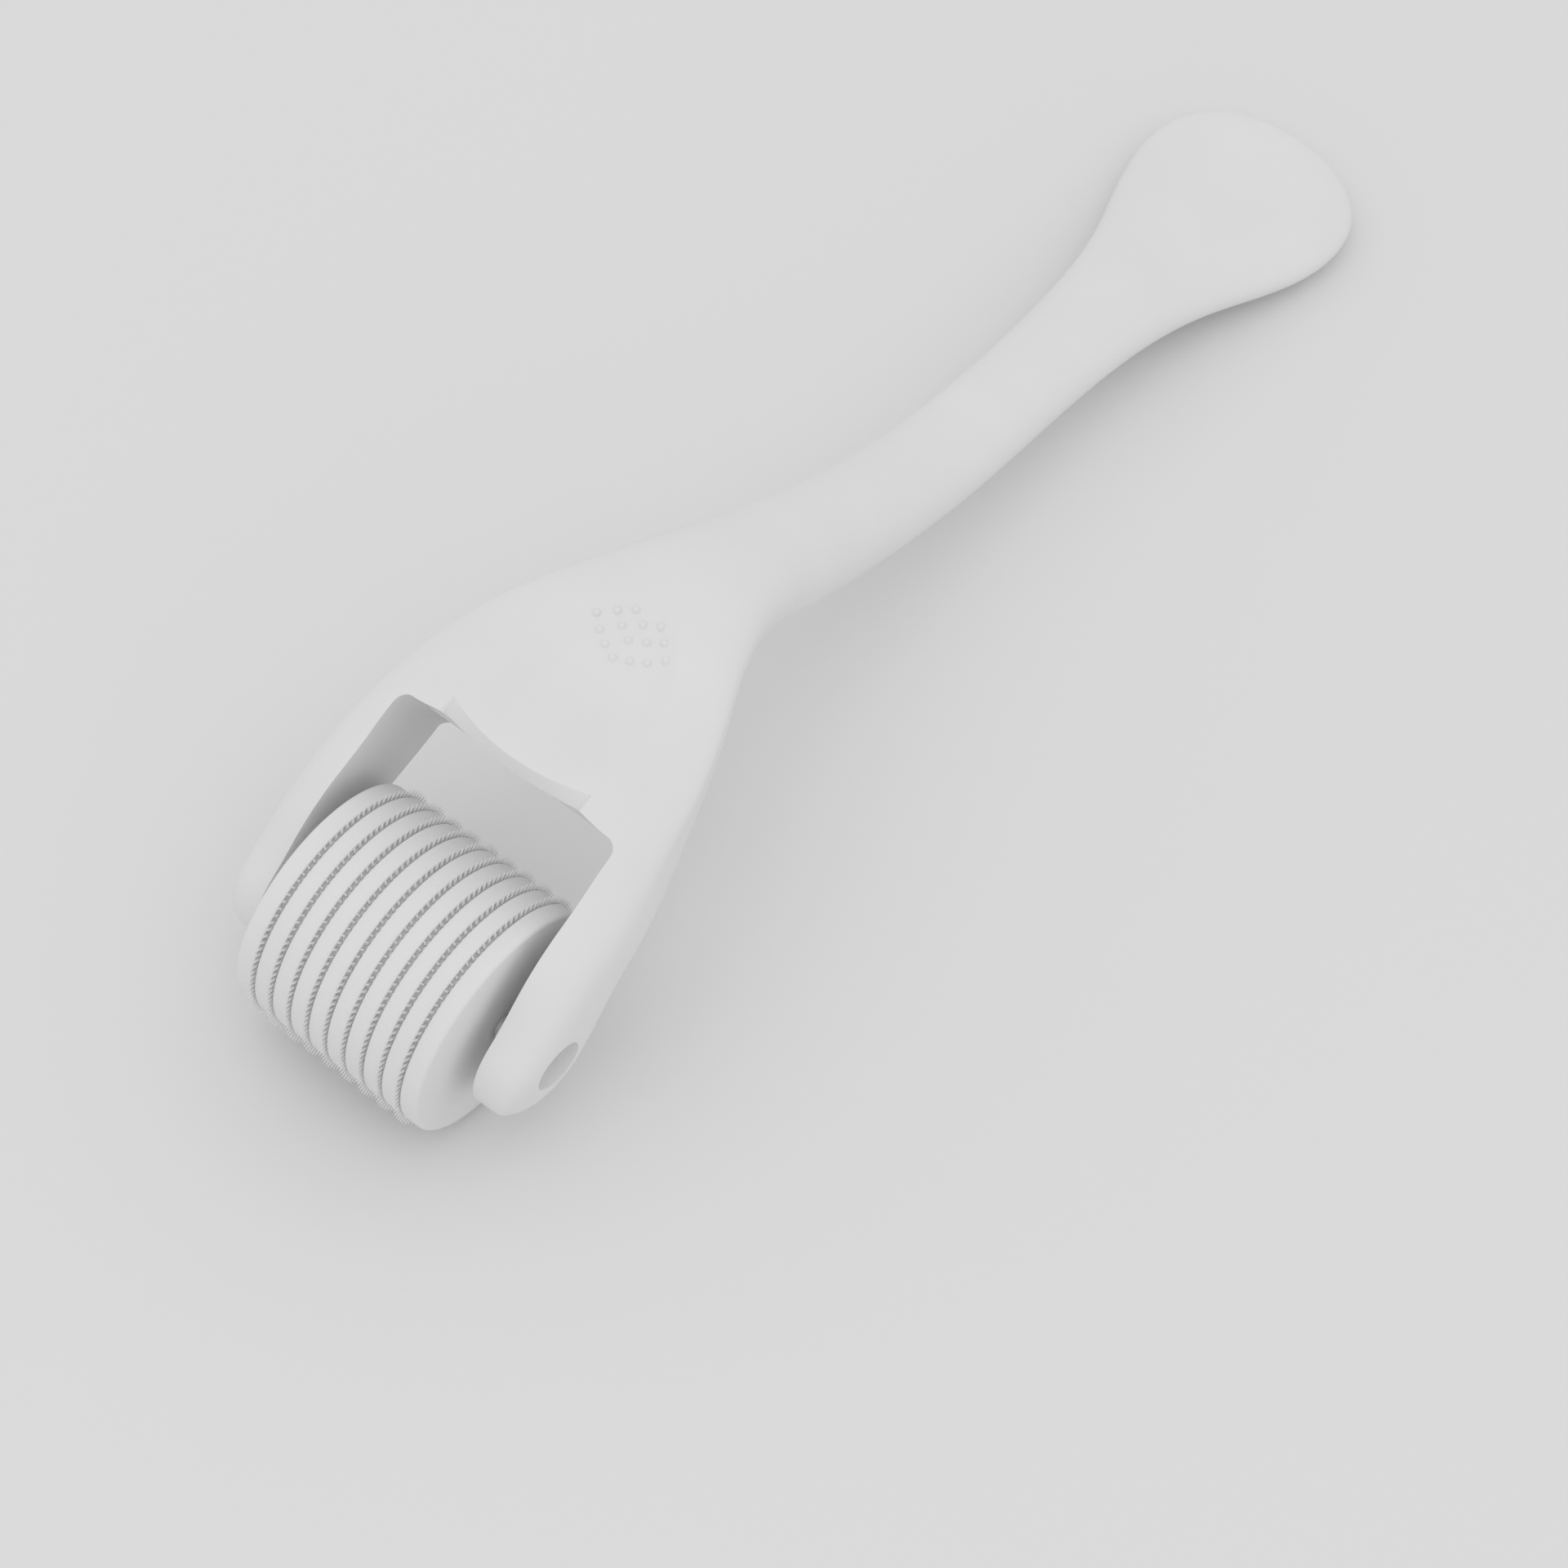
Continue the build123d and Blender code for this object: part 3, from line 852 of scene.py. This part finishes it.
def make_bushes():
    """Closed bushes, each with a slim nose towards the drum; the pin's ends are inside them."""
    profile = [
        (BUSH_BORE_END, 0), (BUSH_BORE_END, BUSH_BORE_R), (BUSH_NOSE_END, BUSH_BORE_R),
        (BUSH_NOSE_END, BUSH_NOSE_R - BUSH_EDGE), (BUSH_NOSE_END + BUSH_EDGE, BUSH_NOSE_R),
        (BUSH_INNER_END, BUSH_NOSE_R), (BUSH_INNER_END, BUSH_R - BUSH_EDGE),
        (BUSH_INNER_END + BUSH_EDGE, BUSH_R),
        *quarter(BUSH_OUTER_END - BUSH_EDGE, BUSH_R - BUSH_EDGE, BUSH_EDGE, 0)[::-1],
        (BUSH_OUTER_END, 0),
    ]
    for side, end in ((1, "right"), (-1, "left")):
        placed = [(side * x, radius) for x, radius in profile]
        finish_piece(
            f"arm_bush_{end}", lathe(placed, BUSH_SEGMENTS), bush_plastic, "handle",
            f"axle_bush_{end}",
        )


make_handle()
make_drum()
make_needles()
make_bushes()

# The pin and the core are hidden by the other pieces, and keep their CAD shape
for node, material in (("axle_pin", pin_steel), ("drum_core", drum_plastic)):
    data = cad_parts[node].data
    data.materials.clear()
    data.materials.append(material)

# --- Floor, light and camera --------------------------------------------------------------------

# In metres and watts
FLOOR_HALF = 3.0
FLOOR_GREYS = (0.795, 0.805)
SKY_STRENGTH = 0.79
SOFTBOX_SIZE = 1.3
SOFTBOX_WATTS = 2.2
SOFTBOX_AT = Vector((0.12, -0.50, 1.30))
CAMERA_AT = Vector((0.11700, -0.21145, 0.31764))
CAMERA_RIGHT = Vector((0.78361, 0.61306, 0.10068)).normalized()
CAMERA_BACK = Vector((0.28056, -0.49382, 0.82310)).normalized()
CAMERA_LENS = 97.5           # millimetres, on a 36 mm wide sensor


def make_floor():
    """A plain sheet of pale paper."""
    built = bmesh.new()
    bmesh.ops.create_grid(built, x_segments=8, y_segments=8, size=FLOOR_HALF)
    mesh = to_mesh("floor", built)
    material, shader, place = new_material("floor_paper")
    clouds = noise(material, place, scale=3, detail=3)
    dark, light = FLOOR_GREYS
    material.node_tree.links.new(
        ramp(material, clouds, grey(dark), grey(light)), shader.inputs["Base Color"]
    )
    shader.inputs["Roughness"].default_value = 0.9
    shader.inputs["Specular IOR Level"].default_value = 0.1
    mesh.materials.append(material)
    to_scene("floor", mesh)


def make_light():
    """A white dome of even light and one large, weak softbox high above the viewer."""
    world = bpy.data.worlds.new("studio")
    bpy.context.scene.world = world
    world.use_nodes = True
    sky = world.node_tree.nodes["Background"]
    sky.inputs["Color"].default_value = (1.0, 1.0, 1.0, 1.0)
    sky.inputs["Strength"].default_value = SKY_STRENGTH
    lamp = bpy.data.lights.new("softbox", "AREA")
    lamp.shape = "DISK"
    lamp.size = SOFTBOX_SIZE
    lamp.energy = SOFTBOX_WATTS
    softbox = to_scene("softbox", lamp)
    softbox.location = SOFTBOX_AT
    softbox.rotation_euler = (-softbox.location).to_track_quat("-Z", "Y").to_euler()


def make_camera():
    data = bpy.data.cameras.new("camera")
    data.lens = CAMERA_LENS
    data.sensor_width = 36.0
    data.clip_start = 0.01
    camera = to_scene("camera", data)
    up = CAMERA_BACK.cross(CAMERA_RIGHT).normalized()
    right = up.cross(CAMERA_BACK)
    turn = Matrix((right, up, CAMERA_BACK)).transposed()
    camera.matrix_world = Matrix.Translation(CAMERA_AT) @ turn.to_4x4()
    bpy.context.scene.camera = camera


make_floor()
make_light()
make_camera()
bpy.context.scene.view_settings.view_transform = "Standard"
